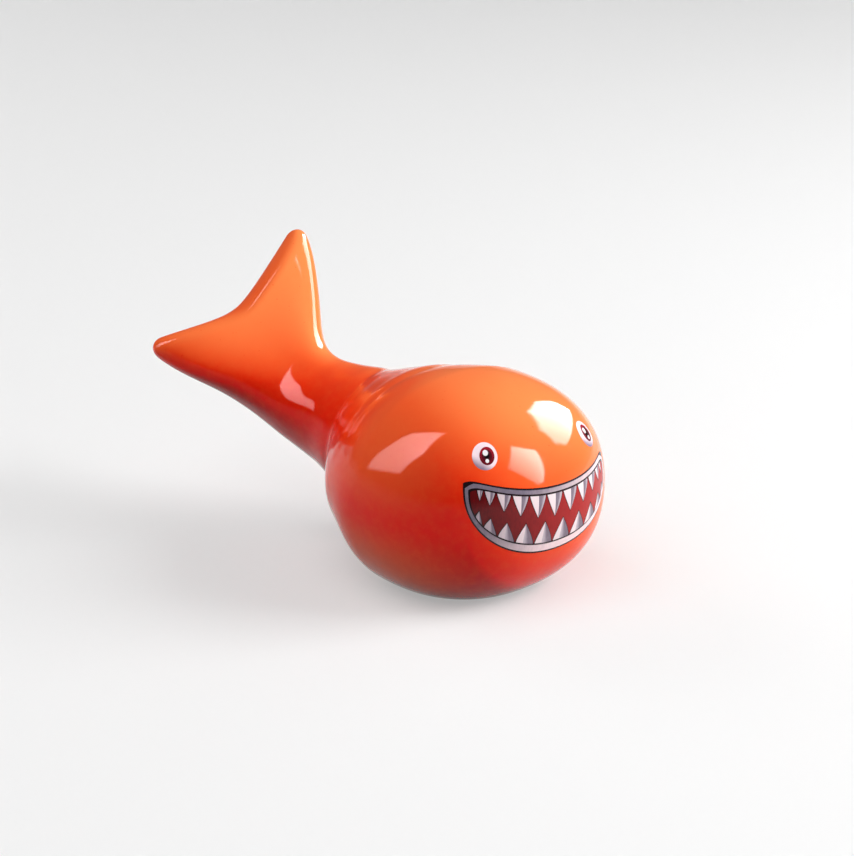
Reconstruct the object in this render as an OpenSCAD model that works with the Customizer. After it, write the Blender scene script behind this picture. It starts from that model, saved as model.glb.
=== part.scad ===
// Whale chopstick rest: a thick clay head, a stem and fluke luted on at the neck, an orange
// glaze over both and a fired-on printed face. Chopsticks lie in the saddle behind the head.
// Frame: +X is forward, through the face, +Y is the animal's left and +Z is up. The origin is the
// middle of the face that the rest stands on. Lengths are millimetres, angles are degrees.

/* [Head] */
// Half length of the head, from its middle to the nose
head_a = 18; // [15:0.5:22]
// Half width of the head
head_b = 18; // [15:0.5:22]
// Half height of the head, before the foot is cut
head_c = 14.9; // [13:0.1:18]
// How much the foot cuts off the bottom of the head
foot_cut = 2; // [1.5:0.1:2.5]
// Squareness of the head: 2 is an ellipsoid
head_power = 2.3; // [2:0.05:2.6]
// Radius of the drying hole in the foot
vent_r = 2; // [1.5:0.25:2.5]
// Depth of the drying hole
vent_deep = 15; // [10:0.5:18]
// Distance of the drying hole behind the middle of the foot
vent_x = 4; // [3.5:0.25:4.5]

/* [Stem] */
// Half thickness of the stem at the neck
neck_r = 9; // [7.5:0.1:9.5]
// Half thickness of the stem before the fluke
stem_r = 6.5; // [5.5:0.1:7.5]
// Distance from the head's middle to the neck joint, along the stem
joint_s = 20; // [19:0.5:22]
// Length of the stem and fluke behind the head's middle, along their curve
tail_len = 46; // [43:0.5:52]
// Upward slope of the neck
neck_rise = 11; // [0:1:25]
// Upward slope of the tail at its end
tail_rise = 45; // [30:1:60]
// Sideways swing of the tail at its end, to the animal's right
tail_swing = 23; // [0:1:30]
// Twist of the fluke about the stem, left side up
tail_twist = 37; // [0:1:40]
// Softness of the crease between head and stem
crease_soft = 4; // [1:0.25:5]

/* [Fluke] */
// Distance from the head's middle to where the stem starts to spread
fluke_s = 29; // [28:0.5:33]
// Width of the fluke across its two tips
fluke_span = 29; // [24:0.5:36]
// How much further the left lobe reaches than the right one
fluke_lean = 3; // [0:0.5:5]
// Half thickness of the fluke
fluke_t = 3.2; // [2.4:0.1:4]
// How far the tips sweep back past the notch
sweep = 5.25; // [3:0.25:8]
// Roundness of the tips, seen from above
tip_round = 2.6; // [1.5:0.1:3]
// Length over which the trailing edge rounds off
edge_round = 2.6; // [2.4:0.1:4]

/* [Glaze] */
// Thickness of the glaze
glaze_t = 0.35; // [0.25:0.05:0.6]
// Gap that keeps the coat clear of the clay
coat_gap = 0.02; // [0.01:0.01:0.04]
// Height of the bare clay foot below the edge of the glaze
bare_foot = 0.5; // [0.3:0.1:1]
// Thickness of the slip layer in the neck joint
slip_t = 0.5; // [0.3:0.1:1]

/* [Mouth] */
// Tilt of the printed face, right side up
face_tilt = 3.5; // [-6:0.5:6]
// How far the printed face sits to the animal's right
face_shift = 0.4; // [0:0.1:1]
// Half width of the mouth, along the head
mouth_w = 13.1; // [11:0.1:15]
// Height of the middle of the upper lip above the widest line of the head
mouth_top = 4.3; // [3.5:0.1:5.5]
// Depth of the middle of the lower lip below the widest line of the head
mouth_bottom = 4.7; // [3.5:0.1:5.5]
// How far the upper lip rises from its middle to its corners
lip_flare = 1.8; // [0.5:0.1:2.5]
// How far the corners tuck down from there
lip_tuck = 0.7; // [0.4:0.1:1.2]
// Width of the lower lip
lip_w = 1; // [0.6:0.05:1.2]
// Width of the upper lip
lip_top = 0.55; // [0.4:0.05:0.8]
// Width of the lips at the corners
lip_side = 0.45; // [0.3:0.05:0.8]
// Width of a drawn line
line_w = 0.25; // [0.12:0.01:0.3]

/* [Teeth] */
// Teeth in the upper row
upper_count = 11; // [7:1:13]
// Teeth in the lower row
lower_count = 10; // [6:1:12]
// Length of the longest tooth
tooth_len = 2.9; // [2:0.1:3.2]
// Gap between two teeth where they stand
tooth_gap = 0.32; // [0.3:0.01:0.6]
// Width of the line round a tooth
tooth_line = 0.14; // [0.08:0.01:0.14]

/* [Eyes] */
// Distance of each eye from the middle of the face, along the head
eye_u = 10.2; // [9:0.1:12]
// Height of the eyes above the widest line of the head
eye_v = 8.9; // [8.6:0.1:10]
// Half width of an eye
eye_r = 1.85; // [1.4:0.05:2.2]
// Half width of an iris
iris_r = 1.1; // [1:0.05:1.3]
// Half width of a pupil
pupil_r = 0.75; // [0.5:0.05:0.85]
// Half width of the large glint
glint_r = 0.4; // [0.25:0.01:0.45]

/* [Print] */
// Thickness of each printed film
film_t = 0.04; // [0.03:0.01:0.06]
// Gap below each printed film
film_gap = 0.02; // [0.02:0.01:0.03]

/* [Hidden] */

// The head's middle and half sizes, and the height of the middle above the foot
head_z = head_c - foot_cut;
head_middle = [0, 0, head_z];
head_size = [head_a, head_b, head_c];
// Depth of the clay under the skin of the glaze
clay_depth = glaze_t + coat_gap;
// Rings of the skin from nose to joint and from joint to trailing edge, and points in each ring
head_rings = 22;
tail_rings = 22;
sides = 32;
// Overrun of a cutter past the face that it cuts
over = 1;
// Half thickness left at the trailing edge
edge_t = 0.02;
// Places along the head, as shares of its half length: where the stem's section grows inside it,
// where the crease starts and ends, and where its squareness fades. Each is a start and a length.
root_shares = [-0.22, 0.56];
crease_in_shares = [0.22, 0.45];
crease_out_shares = [1.1, 0.33];
square_shares = [0.1, 0.45];
// How far a ring lets go of the head once it has left it, and how quickly
let_go = 6;
let_go_share = 8;
// The stem narrows and twists from here, and its section flattens from a little further on
narrow_s = 14;
twist_len = 20;
flat_s = 16;
flat_len = 16;
// Lengths over which the spine takes up the slope of the neck, curls up and swings
turn_len = 12;
curl_s = 23;
curl_len = 15;
swing_len = tail_len - edge_round;
// The fluke starts to thin ahead of where it spreads, and has thinned before its trailing edge
thin_lead = 4.5;
thin_s = fluke_s - thin_lead;
thin_len = tail_len - edge_round - thin_s;
// Share of the fluke at which it is widest, the power of its spread and the softness of the notch
spread_share = 0.95;
spread_power = 3;
notch_share = 0.04;
// Power of the fluke's section: 2 is an ellipse
section_power = 2.6;
// Degrees in a radian
radian = 180 / PI;

// Smooth step from 0 to 1
function ease(t) = let (u = min(max(t, 0), 1)) u * u * (3 - 2 * u);
// Smooth step over a stretch that starts at the first share of the head and is as long as the second
function head_ease(s, shares) = ease((s / head_a - shares[0]) / shares[1]);
// Slope, swing and direction of the spine at a distance s behind the head's middle
function rise(s) = neck_rise * ease(s / turn_len)
    + (tail_rise - neck_rise) * ease((s - curl_s) / curl_len);
function swing(s) = tail_swing * ease(s / swing_len);
function heading(s) = [-cos(rise(s)) * cos(swing(s)), -cos(rise(s)) * sin(swing(s)), sin(rise(s))];
function twist(s) = tail_twist * ease((s - narrow_s) / twist_len);

// Half width of the stem and fluke, on the left (side 1) or the right (side -1), and half thickness
function spread(s) = min(max((s - fluke_s) / (tail_len - fluke_s), 0), 1);
function edge_drop(s) = let (t = max(s - tail_len + edge_round, 0) / edge_round) sqrt(max(1 - t * t, 0));
function stem_half(s) = neck_r + (stem_r - neck_r) * ease((s - narrow_s) / (fluke_s - narrow_s));
function half_w(s, side) = stem_half(s) + ((fluke_span + side * fluke_lean) / 2 - stem_half(s))
    * pow(sin(90 * min(spread(s) / spread_share, 1)), spread_power) - tip_round * (1 - edge_drop(s));
function half_t(s) = let (full = stem_half(s) + (fluke_t - stem_half(s)) * ease((s - thin_s) / thin_len))
    max(full * edge_drop(s), edge_t);

// Distances of the rings behind the head's middle: close together at the nose, joint and edge
tail_s = joint_s + slip_t;
stations = concat(
    [for (i = [0:head_rings]) (joint_s + head_a) * (1 - cos(180 * i / head_rings)) / 2 - head_a],
    [for (i = [0:tail_rings]) tail_s + (tail_len - tail_s) * sin(90 * i / tail_rings)]);
last = len(stations) - 1;
// The spine, one straight step from ring to ring, each in the direction at its middle
spine = [for (i = 0, p = head_middle + [head_a, 0, 0]; i <= last; i = i + 1,
    p = i > last ? p : p + (stations[i] - stations[i - 1]) * heading((stations[i] + stations[i - 1]) / 2)) p];

// Distance from a point on the spine, along a direction, to the head's ellipsoid
function head_reach(p, d) =
    let (o = [for (k = [0:2]) (p[k] - head_middle[k]) / head_size[k]],
        q = [for (k = [0:2]) d[k] / head_size[k]],
        b = o * q, c = o * o - 1)
    c < 0 ? (sqrt(b * b - (q * q) * c) - b) / (q * q) : -let_go * ease(let_go_share * c);
// How far the squareness of the head pushes out a point on its ellipsoid
function square_out(p) =
    let (h = [for (k = [0:2]) (p[k] - head_middle[k]) / head_size[k]], r = max(norm(h), 0.001))
    pow(pow(abs(h[0] / r), head_power) + pow(abs(h[1] / r), head_power)
        + pow(abs(h[2] / r), head_power), -1 / head_power);

// One ring of the skin: rays in the ring's plane reach the head or the stem, softly joined,
// and in the fluke each point is swept back by its distance from the middle
function ring(i) =
    let (s = stations[i], p = spine[i], d = heading(s),
        side = [d[1], -d[0], 0] / norm([d[0], d[1]]), up = cross(side, d),
        side_t = side * cos(twist(s)) + up * sin(twist(s)),
        up_t = up * cos(twist(s)) - side * sin(twist(s)),
        t = half_t(s), flat = ease((s - flat_s) / flat_len),
        power = 2 + (section_power - 2) * flat,
        soft = crease_soft * head_ease(s, crease_in_shares) * (1 - head_ease(s, crease_out_shares)),
        square = 1 - head_ease(s, square_shares), root = head_ease(s, root_shares))
    [for (j = [0:sides - 1])
        let (w = half_w(s, sign(cos(360 * j / sides))),
            x0 = cos(360 * j / sides) * (1 - flat + w / stem_r * flat),
            y0 = sin(360 * j / sides) * (1 - flat + t / stem_r * flat),
            x = x0 / norm([x0, y0]), y = y0 / norm([x0, y0]),
            ray = side_t * x + up_t * y,
            a = head_reach(p, ray),
            b = root * pow(pow(abs(x) / w, power) + pow(abs(y) / t, power), -1 / power),
            r = (a + b + norm([a - b, soft])) / 2,
            q = p + ray * r,
            back = sweep * (norm([r * x / (fluke_span / 2), sqrt(notch_share)]) - sqrt(notch_share)))
        head_middle + (q - head_middle) * (1 + (square_out(q) - 1) * square) + d * back * ease(spread(s))];

// The glazed skin, ring by ring, and the outward direction at each of its points
skin = [for (i = [0:last]) ring(i)];
function unit(v) = v / norm(v);
function outward(i, j) = unit(cross(skin[i][(j + 1) % sides] - skin[i][(j + sides - 1) % sides],
    skin[i - 1][j] - skin[i + 1][j]));
// At the joint it lies in the plane of the ring, so that the cut ends stay flat
function level_out(v, d) = unit(v - d * (v * d));
normals = [for (i = [0:last]) [for (j = [0:sides - 1])
    i == 0 ? [1, 0, 0] : i == last ? heading(tail_len)
        : i == head_rings || i == head_rings + 1 ? level_out(outward(i, j), heading(stations[i]))
        : outward(i, j)]];
// A ring of the skin moved in by a depth
function inset_ring(i, depth) = [for (j = [0:sides - 1]) skin[i][j] - normals[i][j] * depth];

// Faces between ring a and ring a + 1, counted from the first point of the list
function band(a) = [for (j = [0:sides - 1]) let (k = (j + 1) % sides, m = a * sides, n = m + sides)
    each [[m + j, m + k, n + j], [m + k, n + k, n + j]]];

// The skin from one ring to another, moved in by a depth. The nose closes in a point, the trailing
// edge in a strip and a cut end in a flat face.
module loft(first, final, depth) {
    start = first == 0 ? 1 : first;
    rings = [for (i = [start:final]) each inset_ring(i, depth)];
    count = final - start;
    nose = len(rings);
    points = first == 0 ? concat(rings, [skin[0][0] - normals[0][0] * depth]) : rings;
    front = first == 0 ? [for (j = [0:sides - 1]) [nose, (j + 1) % sides, j]]
        : [[for (j = [0:sides - 1]) sides - 1 - j]];
    ends = final == last ? concat([[0, 1, sides - 1]],
            [for (j = [1:sides / 2 - 2]) each [[j, j + 1, sides - j], [j + 1, sides - j - 1, sides - j]]],
            [[sides / 2 - 1, sides / 2, sides / 2 + 1]])
        : [[for (j = [0:sides - 1]) j]];
    back = [for (f = ends) [for (k = f) count * sides + k]];
    polyhedron(points, concat([for (a = [0:count - 1]) each band(a)], front, back));
}

// The printed face is drawn flat, u to the animal's left and v up, and wrapped round the head.
// A point of it lies on the head's skin, lifted along the outward direction there.
function face_ray(u, v) =
    let (az = (u - face_shift) / head_a * radian, el = v / head_a * radian,
        d = [cos(el) * cos(az), cos(el) * sin(az), sin(el)])
    [d[0], d[1] * cos(face_tilt) + d[2] * sin(face_tilt), d[2] * cos(face_tilt) - d[1] * sin(face_tilt)];
function skin_out(h) = unit([for (k = [0:2]) sign(h[k]) * pow(abs(h[k]), head_power - 1) / head_size[k]]);
function face_point(q, lift) =
    let (ray = face_ray(q[0], q[1]), e = ray / norm([for (k = [0:2]) ray[k] / head_size[k]]),
        p = e * square_out(head_middle + e))
    head_middle + p + skin_out([for (k = [0:2]) p[k] / head_size[k]]) * lift;

// Levels of the print, one film on another: the base lies on the glaze
base_level = 0;
fill_level = 1;
line_level = 2;
tooth_level = 3;
shade_level = 4;
// A printed film over a grid of flat points, on a level of the print. Each row of a closed grid
// runs round to its own start.
module film(grid, level, closed = false) {
    low = film_gap + level * (film_gap + film_t);
    wide = len(grid[0]);
    tall = len(grid);
    size = wide * tall;
    points = [for (lift = [low + film_t, low]) for (row = grid) for (q = row) face_point(q, lift)];
    cells = [for (r = [0:tall - 2]) for (c = [0:wide - (closed ? 1 : 2)])
        [r * wide + c, r * wide + (c + 1) % wide, (r + 1) * wide + (c + 1) % wide, (r + 1) * wide + c]];
    top = [for (f = cells) each [[f[0], f[2], f[1]], [f[0], f[3], f[2]]]];
    bottom = [for (f = top) [f[0] + size, f[2] + size, f[1] + size]];
    rim = concat([for (c = [0:wide - (closed ? 1 : 2)]) each [[c, (c + 1) % wide],
            [(tall - 1) * wide + (c + 1) % wide, (tall - 1) * wide + c]]],
        closed ? [] : [for (r = [0:tall - 2]) each [[(r + 1) * wide, r * wide],
            [r * wide + wide - 1, (r + 1) * wide + wide - 1]]]);
    walls = [for (e = rim) each [[e[0], e[1], e[1] + size], [e[0], e[1] + size, e[0] + size]]];
    polyhedron(points, concat(top, bottom, walls));
}

// Columns of a patch, close together at its two ends, as shares of its half width
end_share = 0.3;
function columns(n) = [for (k = [0:n]) -cos(180 * (k + end_share) / (n + 2 * end_share))];
// An oval patch
function oval(u, v, half_u, half_v, n, rows) = [for (r = [-1:2 / rows:1]) [for (x = columns(n))
    [u + half_u * x, v + half_v * r * sqrt(1 - x * x)]]];

// The mouth's upper and lower edges at a share of its half width, moved in by some insets: those of
// the corners, the upper edge and the lower edge
function half_mouth(inset) = mouth_w - inset[0];
function upper_edge(x, inset) = mouth_top - inset[1] + lip_flare * x * x - lip_tuck * pow(x, tuck_power);
function lower_edge(x, inset) = let (corner = mouth_top - inset[1] + lip_flare - lip_tuck)
    corner - (corner + mouth_bottom - inset[2]) * pow(max(1 - pow(abs(x), drop_powers[0]), 0), drop_powers[1]);
// Powers of the corner's tuck and of the lower edge
tuck_power = 16;
drop_powers = [2, 0.45];
// The mouth as a filled patch, and as a closed line
function mouth_patch(inset, n, rows) = [for (r = [0:rows]) [for (x = columns(n))
    [half_mouth(inset) * x, lower_edge(x, inset) * (1 - r / rows) + upper_edge(x, inset) * r / rows]]];
function mouth_line(inset, n) = let (x = columns(n)) concat(
    [for (k = [0:n]) [half_mouth(inset) * x[k], lower_edge(x[k], inset)]],
    [for (k = [0:n]) [half_mouth(inset) * x[n - k], upper_edge(x[n - k], inset)]]);
// Insets of a number of drawn lines and of lips
function insets(lines, lips) = [for (w = [lip_side, lip_top, lip_w]) lines * line_w + lips * w];
throat_in = insets(2, 1);
mouth_columns = 22;

// A row of teeth: each stands on an edge of the throat, and they get smaller towards the corners.
// The shares are the row's width, a tooth's shrinking and the start of its shaded half.
// Even turns of an angle set the teeth closer together towards the corners.
row_share = 0.9;
corner_share = 0.72;
shade_share = 0.12;
row_turn = 70;
// Power of a tooth's sides: 1 is straight, more is convex
bulge_power = 1.3;
function tooth_at(i, count) = row_share * sin(row_turn * (2 * i + 1 - count) / (count - 1)) / sin(row_turn);
function tooth(i, count, up, grow, from) =
    let (half = half_mouth(throat_in), x = tooth_at(i, count),
        w = (half * (tooth_at(i + 0.5, count) - tooth_at(i - 0.5, count)) - tooth_gap) / 2 + grow,
        reach = (tooth_len * (1 - corner_share * x * x) + 2 * grow) * (up ? 1 : -1),
        across = [from, (from + 1) / 2, 1])
    [for (t = [0, 0.5, 1]) [for (k = [0:2])
        let (u = half * x + across[up ? k : 2 - k] * max(w * (1 - pow(t, bulge_power)), line_w / 4),
            base = up ? lower_edge(u / half, throat_in) - grow : upper_edge(u / half, throat_in) + grow)
        [u, base + reach * t]]];
module teeth(count, up, grow, from, level) {
    for (i = [0:count - 1]) film(tooth(i, count, up, grow, from), level);
}

// Cuts away what lies below a height
module below(height) {
    translate([-2 * head_a, -2 * head_b, -2 * head_c])
        cube([4 * head_a, 4 * head_b, 2 * head_c + height]);
}

// Pressed clay head with a flat foot. A round hole from below lets it dry and fire without cracking.
// It is thick, because its weight has to hold up the tail and the sticks.
module head_body() {
    color("ivory") difference() {
        loft(0, head_rings, clay_depth);
        below(0);
        translate([-vent_x, 0, -over]) cylinder(h = vent_deep + over, r = vent_r, $fn = 32);
    }
}

// Pressed clay stem and fluke
module tail_body() {
    color("ivory") loft(head_rings + 1, last, clay_depth);
}

// Layer of slip that lutes the tail to the head
module joining_slip() {
    color("linen") loft(head_rings, head_rings + 1, clay_depth);
}

// Orange glaze over the clay, wiped off the foot
module glaze_coat() {
    color([0.93, 0.3, 0.1]) difference() {
        loft(0, last, 0);
        loft(0, last, glaze_t);
        below(bare_foot);
    }
}

// Dark lines: the base of the mouth and the outline of each tooth
module mouth_outline() {
    color([0.16, 0.1, 0.14]) {
        film(mouth_patch(insets(0, 0), mouth_columns, 6), base_level);
        teeth(upper_count, false, tooth_line, -1, line_level);
        teeth(lower_count, true, tooth_line, -1, line_level);
    }
}

// Lilac-grey band of the lips
module mouth_lips() {
    color([0.62, 0.6, 0.7])
        film([mouth_line(insets(1, 0), mouth_columns), mouth_line(insets(1, 1), mouth_columns)],
            fill_level, true);
}

// Dark red inside of the mouth
module mouth_throat() {
    color([0.55, 0.12, 0.12]) film(mouth_patch(throat_in, mouth_columns, 5), fill_level);
}

module upper_teeth() {
    color([0.95, 0.9, 0.9]) teeth(upper_count, false, 0, -1, tooth_level);
}

module lower_teeth() {
    color([0.95, 0.9, 0.9]) teeth(lower_count, true, 0, -1, tooth_level);
}

// Grey half of each tooth
module tooth_shading() {
    color([0.6, 0.57, 0.62]) {
        teeth(upper_count, false, 0, shade_share, shade_level);
        teeth(lower_count, true, 0, shade_share, shade_level);
    }
}

// Shape of the eyes: irises and pupils are a little taller than wide
tall_share = 1.1;
// The irises look a little to the animal's left
look = 0.3;
// Pinkish-white ovals of the eyes
module eye_whites() {
    color([0.95, 0.85, 0.88]) for (side = [-1, 1])
        film(oval(side * eye_u, eye_v, eye_r, eye_r, 10, 4), base_level);
}

// Dark red rings round the pupils
module irises() {
    color([0.6, 0.1, 0.14]) for (side = [-1, 1])
        film([for (r = [iris_r, pupil_r + line_w / 4]) [for (a = [0:20:340])
            [side * eye_u + look + r * cos(a), eye_v + tall_share * r * sin(a)]]], fill_level, true);
}

// Black pupils
module pupils() {
    color([0.08, 0.05, 0.07]) for (side = [-1, 1])
        film(oval(side * eye_u + look, eye_v, pupil_r, pupil_r * tall_share, 10, 2), fill_level);
}

// A large glint above and a small one below on each pupil. The shares are a glint's place, across in
// pupils to the left and up in pupils, and its size in large glints.
glint_shares = [[-0.3, 0.5, 1], [0, -0.9, 0.65]];
module eye_glints() {
    color("white") for (side = [-1, 1]) for (g = glint_shares)
        film(oval(side * eye_u + look + g[0] * pupil_r, eye_v + g[1] * pupil_r, g[2] * glint_r,
            g[2] * glint_r, 8, 2), line_level);
}

head_body();
tail_body();
joining_slip();
glaze_coat();
mouth_outline();
mouth_lips();
mouth_throat();
upper_teeth();
lower_teeth();
tooth_shading();
eye_whites();
irises();
pupils();
eye_glints();
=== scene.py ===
"""A glazed ceramic chopstick rest in the shape of a whale, dressed round its construction model."""

import bmesh
import bpy
import numpy as np
from mathutils import Matrix, Vector


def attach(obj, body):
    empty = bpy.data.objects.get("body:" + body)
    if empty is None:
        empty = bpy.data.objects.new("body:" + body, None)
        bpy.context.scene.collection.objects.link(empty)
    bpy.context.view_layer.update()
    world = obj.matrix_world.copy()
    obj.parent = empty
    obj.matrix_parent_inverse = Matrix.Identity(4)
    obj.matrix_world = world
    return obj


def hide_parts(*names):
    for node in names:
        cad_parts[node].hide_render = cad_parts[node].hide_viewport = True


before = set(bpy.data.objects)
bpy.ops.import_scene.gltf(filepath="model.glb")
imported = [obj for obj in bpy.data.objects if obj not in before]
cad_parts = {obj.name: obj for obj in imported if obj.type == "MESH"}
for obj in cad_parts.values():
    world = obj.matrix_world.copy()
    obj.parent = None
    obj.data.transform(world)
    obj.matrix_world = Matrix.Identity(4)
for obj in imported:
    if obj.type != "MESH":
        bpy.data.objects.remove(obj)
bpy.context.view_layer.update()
mm = 0.001

# Glaze coat: one layer of glossy orange glaze, put on by spray and fired after the tail was luted to the
# head.
# It follows the clay and runs thin on tips and edges. Painted shade darkens it to red underneath and on the
# side away from the key lamp; painted light makes the top and the lit side lighter orange. It ends
# in a soft edge just above the table, where it was wiped off the foot.
head_half = np.array([18, 18, 14.9]) * mm
foot_cut = 2 * mm
head_middle = np.array([0, 0, head_half[2] - foot_cut])
head_power = 2.3
neck_r, stem_r, joint_s, tail_len = 9 * mm, 6.5 * mm, 20 * mm, 46 * mm
neck_rise, tail_rise, tail_swing, tail_twist = np.radians([11, 45, 23, 37])
turn_len, curl_s, curl_len = 12 * mm, 23 * mm, 15 * mm
narrow_s, twist_len, flat_s, flat_len, thin_s = 14 * mm, 20 * mm, 16 * mm, 16 * mm, 24.5 * mm
fluke_s, fluke_span, fluke_lean, fluke_t = 29 * mm, 29 * mm, 3 * mm, 3.2 * mm
sweep, tip_round, edge_round, edge_t = 5.25 * mm, 2.6 * mm, 2.6 * mm, 0.02 * mm
spread_share, spread_power, notch_share, section_power = 0.95, 3, 0.04, 2.6
crease_soft, let_go, let_go_share = 4 * mm, 6 * mm, 8
root_shares, crease_in_shares = (-0.22, 0.56), (0.22, 0.45)
crease_out_shares, square_shares = (1.1, 0.33), (0.1, 0.45)
glaze_t, bare_foot, wiped, rim_share = 0.35 * mm, 0.5 * mm, 0.6 * mm, 0.25
wave_t, lump_t, lump_back, lump_len = 0.04 * mm, 0.012 * mm, 0.8 * mm, 1.6 * mm
# How fast the waves and lumps turn, in radians a millimetre along x, y and z, and where each starts
wave_turns, wave_start = np.array([[0.31, 0, 0.23], [0, 0.27, -0.19]]), 1
lump_turns, lump_starts = np.array([[1.9, 0.8, 0], [0, 1.3, 1.5], [-1.1, 0, 2.9]]), (0, 0.6, 2)
lump_share = 0.6
even_from, even_to, even_soft, even_rounds = 1 * mm, 12.5 * mm, 3 * mm, 60
even_low, even_rise, even_cut, even_fill = 13 * mm, 9 * mm, 0.2 * mm, 0.5 * mm
head_rings, tail_rings, sides = 100, 70, 256


def ease(t):
    """Smooth step: 3 t squared less 2 t cubed, with t held between 0 and 1."""
    t = np.clip(t, 0, 1)
    return t * t * (3 - 2 * t)


def head_ease(s, shares):
    """Smooth step along the head, from a first share of its half length over a second one."""
    return ease((s / head_half[0] - shares[0]) / shares[1])


def unit(v):
    """Vectors divided by their lengths."""
    return v / np.maximum(np.linalg.norm(v, axis=-1, keepdims=True), 1e-12)


def heading(s):
    """Direction of the spine: its slope and its swing to the right are smooth steps of the distance s."""
    rise = neck_rise * ease(s / turn_len) + (tail_rise - neck_rise) * ease((s - curl_s) / curl_len)
    swing = tail_swing * ease(s / (tail_len - edge_round))
    return np.stack([-np.cos(rise) * np.cos(swing), -np.cos(rise) * np.sin(swing), np.sin(rise)], -1)


def square_out(h):
    """Where a ray along h meets |x|^n + |y|^n + |z|^n = 1, as a share of its length to the unit ball."""
    return np.sum(np.abs(unit(h)) ** head_power, -1) ** (-1 / head_power)


def skin_rings():
    """Rings of rays from the spine. A ray ends at the softly joined larger of two distances, to the head's
    ellipsoid and to the stem's superellipse: half of (a + b + sqrt((a - b)^2 + soft^2)). In the fluke each
    point is swept back by its distance from the middle."""
    head_turn = np.linspace(0, np.pi / 2, head_rings + 1)[:-1]
    tail_turn = np.linspace(0, np.pi / 2, tail_rings + 1)
    s = np.concatenate([(joint_s + head_half[0]) * (1 - np.cos(head_turn)) - head_half[0],
                        joint_s + (tail_len - joint_s) * np.sin(tail_turn)])
    steps = np.diff(s)[:, None] * heading((s[1:] + s[:-1]) / 2)
    p = head_middle + [head_half[0], 0, 0] + np.vstack([np.zeros(3), np.cumsum(steps, 0)])
    d = heading(s)
    side = unit(np.stack([d[:, 1], -d[:, 0], 0 * s], -1))
    up = np.cross(side, d)
    turn = (tail_twist * ease((s - narrow_s) / twist_len))[:, None]
    side, up = side * np.cos(turn) + up * np.sin(turn), up * np.cos(turn) - side * np.sin(turn)
    stem = neck_r + (stem_r - neck_r) * ease((s - narrow_s) / (fluke_s - narrow_s))
    spread = np.clip((s - fluke_s) / (tail_len - fluke_s), 0, 1)
    drop = np.sqrt(np.clip(1 - (np.maximum(s - tail_len + edge_round, 0) / edge_round) ** 2, 0, 1))
    wide = np.sin(np.pi / 2 * np.minimum(spread / spread_share, 1)) ** spread_power
    thin = ease((s - thin_s) / (tail_len - edge_round - thin_s))
    t = np.maximum((stem + (fluke_t - stem) * thin) * drop, edge_t)[:, None]
    flat = ease((s - flat_s) / flat_len)[:, None]
    power = 2 + (section_power - 2) * flat
    angle = np.linspace(0, 2 * np.pi, sides, endpoint=False)
    lobe = (fluke_span + fluke_lean * np.sign(np.cos(angle))) / 2
    w = (stem * (1 - wide) - tip_round * (1 - drop))[:, None] + lobe * wide[:, None]
    x = np.cos(angle) * (1 - flat + w / stem_r * flat)
    y = np.sin(angle) * (1 - flat + t / stem_r * flat)
    x, y = x / np.hypot(x, y), y / np.hypot(x, y)
    ray = side[:, None] * x[..., None] + up[:, None] * y[..., None]
    o, q = ((p - head_middle) / head_half)[:, None], ray / head_half
    b, c, a = np.sum(o * q, -1), np.sum(o * o, -1) - 1, np.sum(q * q, -1)
    inside = (np.sqrt(np.maximum(b * b - a * c, 0)) - b) / a
    to_head = np.where(c < 0, inside, -let_go * ease(let_go_share * c))
    to_stem = (np.abs(x / w) ** power + np.abs(y / t) ** power) ** (-1 / power)
    to_stem = to_stem * head_ease(s, root_shares)[:, None]
    soft = crease_soft * head_ease(s, crease_in_shares) * (1 - head_ease(s, crease_out_shares))
    r = (to_head + to_stem + np.hypot(to_head - to_stem, soft[:, None])) / 2
    point = p[:, None] + ray * r[..., None]
    square = (1 - head_ease(s, square_shares))[:, None]
    out = 1 + (square_out((point - head_middle) / head_half) - 1) * square
    notch = np.sqrt(notch_share)
    back = sweep * (np.hypot(r * x / (fluke_span / 2), notch) - notch) * ease(spread)[:, None]
    return s, head_middle + (point - head_middle) * out[..., None] + d[:, None] * back[..., None]


def ring_normals(grid):
    """Outward directions on the grid: the cross product of its central differences along and round it."""
    around = np.roll(grid, -1, 1) - np.roll(grid, 1, 1)
    along = np.gradient(grid, axis=0)
    normal = unit(np.cross(along, around))
    normal[0], normal[-1] = [1, 0, 0], heading(np.array(tail_len))
    return normal


def ring_faces(rows, columns):
    """Quads between the rings of a grid, facing outwards, with a fan of pairs over its last ring."""
    a = (np.arange(rows - 1)[:, None] * columns + np.arange(columns)[None]).ravel()
    b = (np.arange(rows - 1)[:, None] * columns + (np.arange(columns)[None] + 1) % columns).ravel()
    quads = np.stack([b, a, a + columns, b + columns], -1).tolist()
    last = (rows - 1) * columns
    half = columns // 2
    cap = [[last + 1, last, last + columns - 1]]
    cap += [[last + j + 1, last + j, last + columns - j, last + columns - j - 1] for j in range(1, half - 1)]
    return quads + cap + [[last + half, last + half - 1, last + half + 1]]


def waves(points):
    """How far a hand-finished skin stands out at some points: a product of two slow sines."""
    first, second = np.moveaxis(points / mm @ wave_turns.T, -1, 0)
    return wave_t * np.sin(first + wave_start) * np.sin(second)


station, outer = skin_rings()
normal = ring_normals(outer)
# The clay lies a coat's depth under the skin. The glaze thins to a soft rim where it was wiped.
clay_skin = outer - normal * glaze_t
height = np.clip((clay_skin[..., 2] - bare_foot) / wiped, 0, 1)
coat = glaze_t * (rim_share + (1 - rim_share) * np.sqrt(1 - (1 - height) ** 2))
# Small lumps of slip show through the glaze at the neck joint
near_joint = np.exp(-((station - joint_s - lump_back) / lump_len) ** 2)[:, None]
lump, cross_lump, fine_lump = np.sin(np.moveaxis(outer / mm @ lump_turns.T + lump_starts, -1, 0))
lumps = lump * cross_lump + lump_share * fine_lump
uneven = (waves(outer) + near_joint * lumps * lump_t) * height
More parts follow.
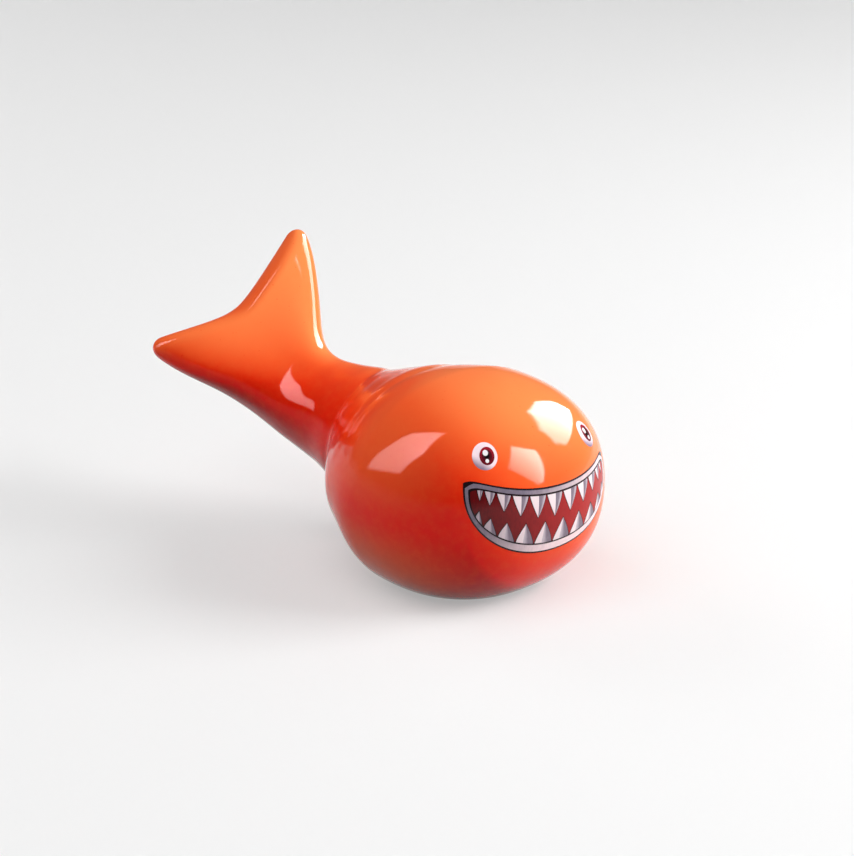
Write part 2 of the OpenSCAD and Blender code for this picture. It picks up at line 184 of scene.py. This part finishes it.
# It fills the shallow dent before the crease: there each ring settles towards the mean of its neighbours
settled = outer.copy()
settling = ease((station - even_from) / even_soft) * (1 - ease((station - even_to) / even_soft))
settling = (settling[:, None] * ease((outer[..., 2] - even_low) / even_rise))[1:-1, :, None]
for _ in range(even_rounds):
    settled[1:-1] += settling * ((settled[2:] + settled[:-2]) / 2 - settled[1:-1])
evened = np.clip(np.sum((settled - outer) * normal, -1), -even_cut, even_fill) * height
outer_wall = clay_skin + normal * (coat + uneven + evened)[..., None]


def mesh_object(name, points, faces):
    """A mesh object at the origin from arrays of points and a list of faces, shaded smooth."""
    mesh = bpy.data.meshes.new(name)
    mesh.from_pydata(points.reshape(-1, 3).tolist(), [], faces)
    mesh.polygons.foreach_set("use_smooth", np.ones(len(mesh.polygons), bool))
    mesh.update()
    piece = bpy.data.objects.new(name, mesh)
    bpy.context.scene.collection.objects.link(piece)
    return piece


def point_values(piece, name, values):
    """Writes a number or a vector to each point of a piece, for its material to read."""
    kind, field = ("FLOAT", "value") if values.ndim == 1 else ("FLOAT_VECTOR", "vector")
    attribute = piece.data.attributes.new(name, kind, "POINT")
    attribute.data.foreach_set(field, values.astype(np.float32).ravel())


def stored(nodes, name):
    """What was written to the piece's points under this name, as a node's outputs."""
    made = nodes.new("ShaderNodeAttribute")
    made.attribute_name = name
    return made.outputs


def noise(nodes, links, where, scale, detail, rough):
    """A noise texture over the given coordinates; the scale is in lumps per metre."""
    texture = nodes.new("ShaderNodeTexNoise")
    texture.inputs["Scale"].default_value = scale
    texture.inputs["Detail"].default_value = detail
    texture.inputs["Roughness"].default_value = rough
    links.new(where, texture.inputs["Vector"])
    return texture.outputs["Fac"]


def ramp(nodes, links, value, stops):
    """A colour ramp of (place, linear colour) stops over a value."""
    made = nodes.new("ShaderNodeValToRGB")
    while len(made.color_ramp.elements) < len(stops):
        made.color_ramp.elements.new(0.5)
    for element, (place, colour) in zip(made.color_ramp.elements, stops):
        element.position, element.color = place, (*colour, 1)
    links.new(value, made.inputs["Fac"])
    return made.outputs["Color"]


def feed(links, value, socket):
    """Feeds an input: with a link from an output, or with a number or a linear colour."""
    if hasattr(value, "is_linked"):
        links.new(value, socket)
    else:
        socket.default_value = value if isinstance(value, (int, float)) else (*value, 1)


def blend_colour(nodes, links, share, first, second):
    """Two colours mixed by a share; each is an output or a linear colour."""
    made = nodes.new("ShaderNodeMix")
    made.data_type = "RGBA"
    for place, value in ((0, share), (6, first), (7, second)):
        feed(links, value, made.inputs[place])
    return made.outputs[2]


def sums(nodes, links, operation, *values):
    """One Math node; each value is an output or a number."""
    made = nodes.new("ShaderNodeMath")
    made.operation = operation
    for socket, value in zip(made.inputs, values):
        feed(links, value, socket)
    return made.outputs[0]


def mapped(nodes, links, value, low, high, to_low=0, to_high=1):
    """A value carried smoothly from one range to another and held at its ends."""
    made = nodes.new("ShaderNodeMapRange")
    made.interpolation_type = "SMOOTHSTEP"
    links.new(value, made.inputs["Value"])
    for name, number in (("From Min", low), ("From Max", high), ("To Min", to_low), ("To Max", to_high)):
        made.inputs[name].default_value = number
    return made.outputs["Result"]


def bumped(nodes, links, relief, strength, distance, shader):
    """Feeds a relief through a Bump node into the shader's normal."""
    made = nodes.new("ShaderNodeBump")
    made.inputs["Strength"].default_value = strength
    made.inputs["Distance"].default_value = distance
    links.new(relief, made.inputs["Height"])
    links.new(made.outputs["Normal"], shader.inputs["Normal"])


def new_material(name):
    """An empty node material: its nodes, links, Principled shader and Object coordinates."""
    material = bpy.data.materials.new(name)
    material.use_nodes = True
    nodes, links = material.node_tree.nodes, material.node_tree.links
    where = nodes.new("ShaderNodeTexCoord").outputs["Object"]
    return material, nodes, links, nodes["Principled BSDF"], where


def orange_glaze():
    """Glossy orange glaze with painted shade and painted light: dark red underneath and away from the key
    lamp, lighter orange on the top and the lit side. Lighter where it is thin, finely mottled and speckled."""
    material, nodes, links, shader, where = new_material("orange_glaze")
    cloud = noise(nodes, links, where, *cloud_noise)
    cloud = sums(nodes, links, "SUBTRACT", cloud, noise_middle)
    cloud = sums(nodes, links, "MULTIPLY", cloud, cloud_depth)
    # Painted light and shade: the stored share picks a shade of the glaze from dark red to light orange
    shade_and_light = sums(nodes, links, "ADD", stored(nodes, "painted_light")["Fac"], cloud)
    colour = ramp(nodes, links, shade_and_light, painted_light_stops)
    colour = blend_colour(nodes, links, stored(nodes, "thin")["Fac"], colour, glaze_thin)
    fine = noise(nodes, links, where, *fleck_noise)
    colour = blend_colour(nodes, links, mapped(nodes, links, fine, *fleck_range), colour, glaze_fleck)
    pin = noise(nodes, links, where, *pin_noise)
    colour = blend_colour(nodes, links, mapped(nodes, links, pin, *pin_range), colour, glaze_low)
    links.new(colour, shader.inputs["Base Color"])
    links.new(mapped(nodes, links, fine, *glaze_rough_range), shader.inputs["Roughness"])
    shader.inputs["IOR"].default_value = gloss_ior
    shader.inputs["Specular Tint"].default_value = (*glaze_sheen, 1)
    bumped(nodes, links, noise(nodes, links, where, *ripple_noise), ripple_share, ripple_t, shader)
    return material


# Painted shade and painted light: lit and shaded copies of the one orange glaze, from dark red to light
# orange
glaze_painted_shade, glaze_low, glaze_middle = (0.14, 0.001, 0.001), (0.86, 0.006, 0.001), (0.94, 0.032, 0.004)
glaze_high, glaze_painted_light, glaze_thin = (0.96, 0.105, 0.022), (0.98, 0.25, 0.07), (0.98, 0.32, 0.09)
glaze_fleck, glaze_sheen, gloss_ior = (0.97, 0.19, 0.04), (1, 0.63, 0.61), 1.3
painted_light_stops = ((0, glaze_painted_shade), (0.17, glaze_low), (0.34, glaze_middle), (0.6, glaze_high),
               (0.95, glaze_painted_light))
# Each noise is its lumps a metre, detail and roughness; each range is from low, from high, to low, to high
cloud_noise, fleck_noise = (90, 3, 0.55), (900, 4, 0.65)
pin_noise, ripple_noise = (2600, 1, 0.3), (160, 2, 0.4)
fleck_range, pin_range = (0.35, 0.8, 0, 0.1), (0.76, 0.82, 0, 0.35)
glaze_rough_range = (0.3, 0.8, 0.035, 0.075)
noise_middle, cloud_depth, ripple_share, ripple_t = 0.5, 0.04, 0.12, 0.12 * mm
bend_steps, bend_size, thin_from, thin_share = (4, 8), 0.9 * mm, 0.25, 0.6
tip_reach, tip_share = 4 * mm, 0.5
# Painted light: the way to the key lamp, weights for facing up and for facing it, and a gain with height
painted_light_way, painted_light_shares = unit(np.array([0.62, 0.71, 0.34])), (0.34, 0.66)
painted_light_low, painted_light_deep, painted_light_gain = 18.5 * mm, 12 * mm, 0.34
same_place = 0.0001 * mm

wall = ring_faces(len(outer), sides)
inner_wall = [[outer.size // 3 + k for k in face[::-1]] for face in wall]
glaze = mesh_object("glaze_coat_dressed", np.stack([outer_wall, clay_skin]), wall + inner_wall)
# Glaze runs thin where the skin bends away sharply, a few steps round its ring to each side, and on the tips
bend = sum(outer - (np.roll(outer, k, 1) + np.roll(outer, -k, 1)) / 2 for k in bend_steps)
bend = np.sum(bend * normal, -1) / bend_size
at_tips = np.clip((station - tail_len + tip_reach) / tip_reach, 0, 1)[:, None]
thinned = thin_share * ease(bend + tip_share * at_tips - thin_from)
point_values(glaze, "thin", np.tile(thinned.ravel(), 2))
# Painted light and shade: sides turned up and towards the key lamp, at the animal's front left, and the high
# parts are painted lighter; sides turned down and away from it are painted darker
painted_light_share = painted_light_shares[0] * (1 + normal[..., 2]) / 2 + painted_light_shares[1] * np.maximum(normal @ painted_light_way, 0)
painted_light_share += painted_light_gain * ease((outer[..., 2] - painted_light_low) / painted_light_deep)
point_values(glaze, "painted_light", np.tile(painted_light_share.ravel(), 2))
edit = bmesh.new()
edit.from_mesh(glaze.data)
bmesh.ops.remove_doubles(edit, verts=edit.verts[:], dist=same_place)
bmesh.ops.bisect_plane(edit, geom=edit.verts[:] + edit.edges[:] + edit.faces[:], dist=same_place,
                       plane_co=(0, 0, bare_foot), plane_no=(0, 0, 1), clear_inner=True)
bmesh.ops.bridge_loops(edit, edges=[edge for edge in edit.edges if edge.is_boundary])
for face in edit.faces:
    face.smooth = True
bmesh.ops.recalc_face_normals(edit, faces=edit.faces[:])
edit.to_mesh(glaze.data)
edit.free()
glaze.data.materials.append(orange_glaze())
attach(glaze, "root")
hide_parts("glaze_coat")

# Clay body: a pressed head with a flat foot and a drying hole, a pressed tail and the slip that lutes
# it on. Only the wiped foot shows, matt and a little gritty, with faint tan patches.


def bare_clay(name, pale, tan):
    """Fired clay: pale, with fine grit and soft tan patches where the kiln flashed it."""
    material, nodes, links, shader, where = new_material(name)
    grit = noise(nodes, links, where, *grit_noise)
    flash = mapped(nodes, links, noise(nodes, links, where, *flash_noise), *flash_range)
    colour = blend_colour(nodes, links, flash, pale, tan)
    colour = blend_colour(nodes, links, mapped(nodes, links, grit, *grit_range), colour, tan)
    links.new(colour, shader.inputs["Base Color"])
    links.new(mapped(nodes, links, grit, *clay_rough_range), shader.inputs["Roughness"])
    bumped(nodes, links, grit, grit_share, grit_t, shader)
    return material


clay_pale, clay_tan, slip_pale = (0.71, 0.64, 0.52), (0.55, 0.42, 0.28), (0.66, 0.58, 0.46)
grit_noise, flash_noise = (2200, 5, 0.7), (260, 2, 0.55)
grit_range, flash_range, clay_rough_range = (0.55, 0.8, 0, 0.4), (0.35, 0.7, 0, 0.7), (0.2, 0.8, 0.75, 0.92)
grit_share, grit_t = 0.5, 0.06 * mm
clay, slip = bare_clay("bare_clay", clay_pale, clay_tan), bare_clay("slip", slip_pale, clay_tan)
for node, material in (("head_body", clay), ("tail_body", clay), ("joining_slip", slip)):
    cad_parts[node].data.materials.clear()
    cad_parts[node].data.materials.append(material)

# Face print: a transfer of ceramic inks, floated on to the glaze and fired in. Its films are drawn flat,
# u to the animal's left and v up, and wrapped round the head, each ink on top of the one before.
face_tilt, face_shift = np.radians(3.5), 0.4 * mm
mouth_w, mouth_top, mouth_bottom = 13.1 * mm, 4.3 * mm, 4.7 * mm
lip_flare, lip_tuck, line_w = 1.8 * mm, 0.7 * mm, 0.25 * mm
lip_widths = np.array([0.45, 0.55, 1.0]) * mm
tuck_power, drop_powers = 16, (2, 0.45)
film_t, print_sink, rim_angle = 0.012 * mm, 0.008 * mm, np.radians(40)
mouth_columns, mouth_rows, lip_rings, end_share = 150, 20, 6, 0.15


def on_head(u, v, lift):
    """A flat point wrapped on the head: u and v over its half length are angles, the ray along them meets
    the superellipsoid, and the point is lifted along the normal there."""
    az, el = (u - face_shift) / head_half[0], v / head_half[0]
    ray = np.stack([np.cos(el) * np.cos(az), np.cos(el) * np.sin(az), np.sin(el)], -1)
    c, s = np.cos(face_tilt), np.sin(face_tilt)
    ray = np.stack([ray[..., 0], ray[..., 1] * c + ray[..., 2] * s, ray[..., 2] * c - ray[..., 1] * s], -1)
    h = unit(ray / head_half) * square_out(ray / head_half)[..., None]
    out = unit(np.sign(h) * np.abs(h) ** (head_power - 1) / head_half)
    skin = head_middle + h * head_half
    return skin + out * (waves(skin) + lift)[..., None]


def insets(lines, lips):
    """Insets of the mouth's corners, upper edge and lower edge after a number of drawn lines and of lips."""
    return lines * line_w + lips * lip_widths


def half_mouth(inset):
    """Half width of the mouth, from its middle to its corners."""
    return mouth_w - inset[0]


def upper_edge(x, inset):
    """Upper edge of the mouth at a share x of its half width: a shallow parabola with tucked corners."""
    return mouth_top - inset[1] + lip_flare * x ** 2 - lip_tuck * x ** tuck_power


def lower_edge(x, inset):
    """Lower edge: it drops from the corners by a share (1 - x^2)^0.45, the inside of a round pan."""
    corner = mouth_top - inset[1] + lip_flare - lip_tuck
    drop = np.clip(1 - np.abs(x) ** drop_powers[0], 0, 1) ** drop_powers[1]
    return corner - (corner + mouth_bottom - inset[2]) * drop


def fan(n):
    """Shares from near -1 to near 1 that crowd together at both ends: minus the cosine of even turns."""
    return -np.cos(np.pi * (np.arange(n + 1) + end_share) / (n + 2 * end_share))


def mouth_patch(inset):
    """Columns from the lower to the upper edge, as (u, v) over a grid of rows and columns."""
    x, t = fan(mouth_columns)[None], np.linspace(0, 1, mouth_rows + 1)[:, None]
    low, high = lower_edge(x, inset), upper_edge(x, inset)
    return np.stack(np.broadcast_arrays(half_mouth(inset) * x, low * (1 - t) + high * t), -1)


def mouth_ring(inset):
    """Once round the mouth: along the lower edge and back along the upper one."""
    x = fan(mouth_columns)
    low = np.stack([half_mouth(inset) * x, lower_edge(x, inset)], -1)
    high = np.stack([half_mouth(inset) * x[::-1], upper_edge(x[::-1], inset)], -1)
    return np.concatenate([low, high])


def ink_film(name, grids, level, closed, material, node):
    """One ink: each grid of flat points becomes a closed film between two lifts, top, bottom and rim.
    Its points carry their flat place, their place in their own grid and their share of the way along and
    across it."""
    points, faces, flat, near, share = [], [], [], [], []
    top, low = (level + 1) * film_t, level * film_t - print_sink
    for grid in grids:
        rows, wide = grid.shape[:2]
        size, start = rows * wide, sum(len(p) for p in points)
        for lift in (top, low):
            points.append(on_head(grid[..., 0], grid[..., 1], lift).reshape(-1, 3))
            flat.append(grid.reshape(-1, 2) / mm)
            near.append(flat[-1] - flat[-1].mean(0))
            along, across = np.meshgrid(np.linspace(0, 1, wide), np.linspace(0, 1, rows))
            share.append(np.stack([along, across], -1).reshape(-1, 2))
        r, c = np.meshgrid(np.arange(rows - 1), np.arange(wide if closed else wide - 1), indexing="ij")
        a, b = r * wide + c, r * wide + (c + 1) % wide
        quads = np.stack([a, b, b + wide, a + wide], -1).reshape(-1, 4)
        c = np.arange(wide if closed else wide - 1)
        edges = [np.stack([(c + 1) % wide, c], -1), (rows - 1) * wide + np.stack([c, (c + 1) % wide], -1)]
        if not closed:
            r = np.arange(rows - 1)[:, None] * wide
            edges += [np.hstack([r, r + wide]), np.hstack([r + 2 * wide - 1, r + wide - 1])]
        edges = np.concatenate(edges)
        rim = np.stack([edges[:, 0], edges[:, 1], edges[:, 1] + size, edges[:, 0] + size], -1)
        faces += (np.concatenate([quads, quads[:, ::-1] + size, rim]) + start).tolist()
    piece = mesh_object(name, np.concatenate(points), faces)
    for kind, values in (("flat", flat), ("near", near), ("share", share)):
        point_values(piece, kind, np.pad(np.concatenate(values), ((0, 0), (0, 1))))
    edit = bmesh.new()
    edit.from_mesh(piece.data)
    bmesh.ops.remove_doubles(edit, verts=edit.verts[:], dist=same_place)
    bmesh.ops.delete(edit, geom=[edge for edge in edit.edges if edge.is_wire], context="EDGES")
    bmesh.ops.recalc_face_normals(edit, faces=edit.faces[:])
    for edge in edit.edges:
        edge.smooth = bool(edge.calc_face_angle(0) < rim_angle)
    edit.to_mesh(piece.data)
    edit.free()
    piece.data.materials.append(material)
    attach(piece, "root")
    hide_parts(node)


def ink(name, colours, place, weights, span, streak_depth):
    """A fired ink under a thin gloss: it turns from a first colour to a second one as a weighted sum of one
    of the film's places crosses a span, with fine upright brush streaks and a little mottle."""
    material, nodes, links, shader, where = new_material(name)
    dot = nodes.new("ShaderNodeVectorMath")
    dot.operation = "DOT_PRODUCT"
    dot.inputs[1].default_value = (*weights, 0)
    links.new(stored(nodes, place)["Vector"], dot.inputs[0])
    turn = mapped(nodes, links, dot.outputs["Value"], *span)
    mottle = noise(nodes, links, where, *mottle_noise)
    stretch = nodes.new("ShaderNodeMapping")
    stretch.inputs["Scale"].default_value = (1, 1, streak_share)
    links.new(where, stretch.inputs["Vector"])
    streaks = noise(nodes, links, stretch.outputs[0], *streak_noise)
    for texture, depth in ((mottle, mottle_depth), (streaks, streak_depth)):
        texture = sums(nodes, links, "SUBTRACT", texture, noise_middle)
        turn = sums(nodes, links, "ADD", turn, sums(nodes, links, "MULTIPLY", texture, depth))
    held = nodes.new("ShaderNodeClamp")
    links.new(turn, held.inputs["Value"])
    links.new(blend_colour(nodes, links, held.outputs[0], *colours), shader.inputs["Base Color"])
    shader.inputs["Roughness"].default_value = ink_rough
    shader.inputs["IOR"].default_value = gloss_ior
    bumped(nodes, links, mottle, ink_bump_share, ink_bump_t, shader)
    return material


mottle_noise, streak_noise = (1500, 3, 0.55), (5200, 2, 0.55)
mottle_depth, streak_share, ink_rough, ink_bump_share, ink_bump_t = 0.3, 0.16, 0.1, 0.05, 0.02 * mm
# Each ink turns from a first colour to a second one. On the flat print, spans are in millimetres
line_colours, line_span = ((0.010, 0.005, 0.007), (0.028, 0.010, 0.014)), (-14, 14)
lip_colours, lip_way, lip_span = ((0.20, 0.165, 0.22), (0.95, 0.73, 0.76)), (0.6, -0.9), (-8, 5)
throat_colours, throat_span = ((0.11, 0.004, 0.006), (0.45, 0.014, 0.014)), (-13, 9)
sideways, upright, slanting = (1, 0), (0, 1), (1, 0.2)

line_ink = ink("line_ink", line_colours, "flat", sideways, line_span, streak_depth=0.3)
ink_film("mouth_outline_dressed", [mouth_patch(insets(0, 0))], level=0, closed=False, material=line_ink,
         node="mouth_outline")
lip_ink = ink("lip_ink", lip_colours, "flat", lip_way, lip_span, streak_depth=0.2)
lips = np.stack([mouth_ring(insets(1, k)) for k in np.linspace(0, 1, lip_rings)])
ink_film("mouth_lips_dressed", [lips], level=1, closed=True, material=lip_ink,
         node="mouth_lips")
throat_in = insets(2, 1)
throat_ink = ink("throat_ink", throat_colours, "flat", slanting, throat_span, streak_depth=0.45)
ink_film("mouth_throat_dressed", [mouth_patch(throat_in)], level=1, closed=False, material=throat_ink,
         node="mouth_throat")

# Teeth: a row of eleven pointed teeth hangs from the throat's upper edge and ten stand on its lower one.
# Each is a film of white ink with a grey shaded half, on a film of the dark ink that shows as its outline.
upper_count, lower_count = 11, 10
tooth_len, tooth_gap, tooth_line, tooth_point = 2.9 * mm, 0.32 * mm, 0.17 * mm, 0.02 * mm
row_share, corner_share, shade_shares = 0.9, 0.72, (0.1, -0.2)
row_turn, tooth_power, tooth_rows, tooth_columns = np.radians(70), 1.3, 16, 8
wedge_share, wedge_deep, wedge_columns, wedge_rows = 0.1, 0.85 * mm, 8, 4
tooth_colours, tooth_span = ((0.46, 0.36, 0.42), (0.90, 0.74, 0.77)), (-13, -4)
shade_colours, shade_span = ((0.60, 0.50, 0.56), (0.22, 0.17, 0.22)), (0, 0.6)


def tooth_place(i, count):
    """Places of the teeth as shares of the half width: sines of even turns, closer at the corners."""
    return row_share * np.sin(row_turn * (2 * i + 1 - count) / (count - 1)) / np.sin(row_turn)


def tooth(i, count, up, grow, start):
    """One tooth on an edge of the throat: its half width falls as 1 - t^1.3 along its length, from base
    to point, and its columns run from a share of that half width to the whole."""
    half, x = half_mouth(throat_in), tooth_place(i, count)
    w = (half * (tooth_place(i + 0.5, count) - tooth_place(i - 0.5, count)) - tooth_gap) / 2 + grow
    reach = (tooth_len * (1 - corner_share * x * x) + 2 * grow) * (1 if up else -1)
    t = np.linspace(0, 1, tooth_rows + 1)[:, None]
    k = np.linspace(start, 1, tooth_columns + 1)[None, ::1 if up else -1]
    u = half * x + k * np.maximum(w * (1 - t ** tooth_power), tooth_point)
    edge = lower_edge(u / half, throat_in) - grow if up else upper_edge(u / half, throat_in) + grow
    return np.stack([u, edge + reach * t], -1)


def tooth_row(count, up, grow, start):
    """All teeth of one row, as a list of grids."""
    return [tooth(i, count, up, grow, start) for i in range(count)]


def wedge(side):
    """Thick end of the drawn line at a corner of the mouth: it hangs from the upper edge by a depth that
    falls in a straight line from the corner inwards, to the line's width, and stops at the lower edge."""
    inwards = np.linspace(0, 1, wedge_columns + 1)[None, ::-side]
    k = np.linspace(0, 1, wedge_rows + 1)[:, None]
    x = side * (1 - wedge_share * inwards)
    top, low = upper_edge(x, insets(0, 0)), lower_edge(x, insets(0, 0))
    low = np.maximum(top - wedge_deep + (wedge_deep - line_w) * inwards, np.minimum(low, top))
    return np.stack(np.broadcast_arrays(half_mouth(insets(0, 0)) * x, low * (1 - k) + top * k), -1)


rows = (("upper_teeth", upper_count, False), ("lower_teeth", lower_count, True))
lines = [grid for _, count, up in rows for grid in tooth_row(count, up, tooth_line, -1)]
lines += [wedge(-1), wedge(1)]
ink_film("tooth_lines_dressed", lines, level=2, closed=False, material=line_ink,
         node="mouth_outline")
tooth_ink = ink("tooth_ink", tooth_colours, "flat", slanting, tooth_span, streak_depth=0.2)
for name, count, up in rows:
    ink_film(name + "_dressed", tooth_row(count, up, 0, -1), level=3, closed=False, material=tooth_ink,
             node=name)
shade_ink = ink("tooth_shade_ink", shade_colours, "share", sideways, shade_span, streak_depth=0.3)
shades = [grid for (_, count, up), start in zip(rows, shade_shares)
          for grid in tooth_row(count, up, 0, start)]
ink_film("tooth_shading_dressed", shades, level=4, closed=False, material=shade_ink,
         node="tooth_shading")

# Eyes: a pinkish-white oval with a lilac shadow, a dark red ring, a black pupil and two white glints.
# They belong to the same transfer as the mouth, and both look a little to the animal's left.
eye_u, eye_v, eye_r, look = 10.2 * mm, 8.9 * mm, 1.85 * mm, 0.3 * mm
iris_r, pupil_r, glint_r, tall_share = 1.1 * mm, 0.75 * mm, 0.4 * mm, 1.1
glint_shares = ((-0.3, 0.5, 1), (0, -0.9, 0.65))
disc_points, disc_rings = 64, 8
white_colours, white_way, white_span = ((0.28, 0.20, 0.29), (0.95, 0.76, 0.83)), (0.5, 1), (-2.1, -0.5)
iris_colours, iris_span = ((0.14, 0.006, 0.014), (0.33, 0.012, 0.026)), (-1, 1)
pupil_colours, pupil_span = ((0.090, 0.006, 0.012), (0.004, 0.003, 0.004)), (0.2, 0.7)
glint_colours, glint_span = ((0.86, 0.82, 0.84), (0.95, 0.93, 0.95)), (-0.4, 0.4)


def disc(u, v, half_u, half_v, inner):
    """Rings of an oval from its rim to an inner share of it, each an even turn round the middle."""
    turn = np.linspace(0, 2 * np.pi, disc_points, endpoint=False)[None]
    r = np.linspace(1, inner, disc_rings)[:, None]
    return np.stack([u + half_u * r * np.cos(turn), v + half_v * r * np.sin(turn)], -1)


def eye_film(name, material, half, inner, level, aside, tall):
    """The same oval on both eyes, set aside from their middles and taller than wide by a share."""
    grids = [disc(side * eye_u + aside, eye_v, half, half * tall, inner) for side in (-1, 1)]
    ink_film(name + "_dressed", grids, level, closed=True, material=material, node=name)


white_ink = ink("eye_white_ink", white_colours, "near", white_way, white_span, streak_depth=0.1)
eye_film("eye_whites", white_ink, eye_r, inner=0, level=0, aside=0, tall=1)
iris_ink = ink("iris_ink", iris_colours, "near", upright, iris_span, streak_depth=0.3)
eye_film("irises", iris_ink, iris_r, pupil_r / iris_r, level=1, aside=look, tall=tall_share)
pupil_ink = ink("pupil_ink", pupil_colours, "share", upright, pupil_span, streak_depth=0.1)
eye_film("pupils", pupil_ink, pupil_r, inner=0, level=1, aside=look, tall=tall_share)
glint_ink = ink("glint_ink", glint_colours, "near", upright, glint_span, streak_depth=0)
glints = [disc(side * eye_u + look + x * pupil_r, eye_v + y * pupil_r, glint_r * k, glint_r * k, 0)
          for side in (-1, 1) for x, y, k in glint_shares]
ink_film("eye_glints_dressed", glints, level=2, closed=True, material=glint_ink,
         node="eye_glints")

# Camera: a long lens above and to the animal's right of its nose, at the photograph's angle. The shifts
# set the animal in its picture where it is in the photograph.
camera_turn, camera_rise, camera_away = np.radians(41), np.radians(20), 350 * mm
lens_mm, sensor_mm, near_clip, far_clip = 107.3, 36, 10 * mm, 10000 * mm
aim_x, shift_right, shift_up = -12 * mm, 2.97 * mm, 3.73 * mm
front = np.array([np.cos(camera_turn), -np.sin(camera_turn), 0])
right = np.array([np.sin(camera_turn), np.cos(camera_turn), 0])
up = np.array([0, 0, 1])
back = front * np.cos(camera_rise) + up * np.sin(camera_rise)
level_up = np.cross(back, right)
camera = bpy.data.objects.new("camera", bpy.data.cameras.new("camera"))
camera.data.lens, camera.data.sensor_width = lens_mm, sensor_mm
camera.data.clip_start, camera.data.clip_end = near_clip, far_clip
aim = head_middle + [aim_x, 0, 0]
place = aim + right * shift_right + level_up * shift_up + back * camera_away
camera.matrix_world = Matrix([*np.stack([right, level_up, back, place], 1).tolist(), [0, 0, 0, 1]])
bpy.context.scene.collection.objects.link(camera)
bpy.context.scene.camera = camera

# Studio: a pale table, soft lamps that light the glaze, and bright cards that only show as highlights.
# Their turns and rises are in degrees, their distances and sizes in metres.
card_away, card_ring_shares = 0.8, (0.001, 0.86, 1)
table_side, table_grey, table_glow, table_rough, table_gloss = 6, 0.46, 0.37, 0.9, 0.1
sky_low, sky_high, sky_rise = 0.55, 0.1, 0.09


def toward(turn, rise):
    """Direction from the object: degrees to the right of the camera's side, and above the table."""
    turn, rise = np.radians(turn), np.radians(rise)
    return np.cos(rise) * (np.cos(turn) * front + np.sin(turn) * right) + np.sin(rise) * up


def lamp(name, turn, rise, away, size, light):
    """A square softbox. A white matt face turned straight to it, where the object is, shines with this
    much light."""
    data = bpy.data.lights.new(name, "AREA")
    data.size, data.energy = size, light * np.pi ** 2 * away ** 2
    made = bpy.data.objects.new(name, data)
    made.location = aim + toward(turn, rise) * away
    made.rotation_mode = "QUATERNION"
    made.rotation_quaternion = Vector(toward(turn, rise)).to_track_quat("Z", "Y")
    made.visible_glossy = False
    bpy.context.scene.collection.objects.link(made)


def card(name, strength, corners):
    """A bright card; only glossy rays see it. Each corner has its turn, its rise and its share of the light.
    The middle has the mean of the shares, and the light falls to nothing across a soft rim."""
    turns, rises, shares = np.array(corners).T
    points = toward(turns[:, None], rises[:, None])
    middle = points.mean(0)
    rings = [middle + (points - middle) * k for k in card_ring_shares]
    n = len(corners)
    faces = [[r * n + i, r * n + (i + 1) % n, r * n + n + (i + 1) % n, r * n + n + i]
             for r in range(2) for i in range(n)]
    made = mesh_object(name, aim + np.concatenate(rings) * card_away, faces)
    point_values(made, "light", np.concatenate([np.full(n, shares.mean()), shares, np.zeros(n)]))
    material, nodes, links, _, _ = new_material(name)
    glow = nodes.new("ShaderNodeEmission")
    light = sums(nodes, links, "MULTIPLY", stored(nodes, "light")["Fac"], strength)
    links.new(light, glow.inputs["Strength"])
    links.new(glow.outputs[0], nodes["Material Output"].inputs["Surface"])
    made.data.materials.append(material)
    for ray in ("camera", "diffuse", "shadow", "transmission", "volume_scatter"):
        setattr(made, "visible_" + ray, False)


lamp("key_lamp", turn=90, rise=28, away=0.5, size=0.3, light=1.3)
lamp("top_lamp", turn=-35, rise=64, away=0.6, size=0.6, light=0.55)
lamp("side_lamp", turn=-70, rise=30, away=0.7, size=0.5, light=0.04)
lamp("back_lamp", turn=-128, rise=25, away=0.7, size=0.4, light=0.3)
card("key_card", strength=34, corners=[(135, 49, 1.1), (147, 39, 1.2), (149, 25, 1.1), (147, 14, 0.9),
                                       (126, 21, 0.8), (101, 23, 0.6), (95, 31, 0.7), (106, 45, 0.9)])
card("front_card", strength=38, corners=[(76, 52, 0.9), (86, 36, 1.3), (80, 22, 1.1),
                                         (74, 6, 0.7), (69, 6, 0.4), (51, 33, 0.3)])
card("side_card", strength=14.5, corners=[(-93, 8, 0.5), (-95, 37, 0.7), (-103, 57, 0.9),
                                          (-85, 79, 1.3), (-58, 50, 1.4), (-66, 20, 0.8)])

bpy.ops.mesh.primitive_plane_add(size=table_side)
table = bpy.context.object
table.name = "table"
material, nodes, links, shader, where = new_material("table")
shader.inputs["Base Color"].default_value = (table_grey, table_grey, table_grey, 1)
shader.inputs["Roughness"].default_value = table_rough
shader.inputs["Specular IOR Level"].default_value = table_gloss
paths = nodes.new("ShaderNodeLightPath").outputs
seen = sums(nodes, links, "MAXIMUM", paths["Is Glossy Ray"], paths["Is Transmission Ray"])
seen = sums(nodes, links, "MAXIMUM", paths["Is Camera Ray"], seen)
shader.inputs["Emission Color"].default_value = (1, 1, 1, 1)
links.new(sums(nodes, links, "MULTIPLY", seen, table_glow), shader.inputs["Emission Strength"])
table.data.materials.append(material)

world = bpy.data.worlds.new("world")
world.use_nodes = True
nodes, links = world.node_tree.nodes, world.node_tree.links
nodes["Background"].inputs["Color"].default_value = (1, 1, 1, 1)
sky = nodes.new("ShaderNodeSeparateXYZ")
links.new(nodes.new("ShaderNodeTexCoord").outputs["Generated"], sky.inputs[0])
sky_light = mapped(nodes, links, sky.outputs["Z"], 0, sky_rise, sky_low, sky_high)
links.new(sky_light, nodes["Background"].inputs["Strength"])
bpy.context.scene.world = world
bpy.context.scene.view_settings.view_transform = "Standard"
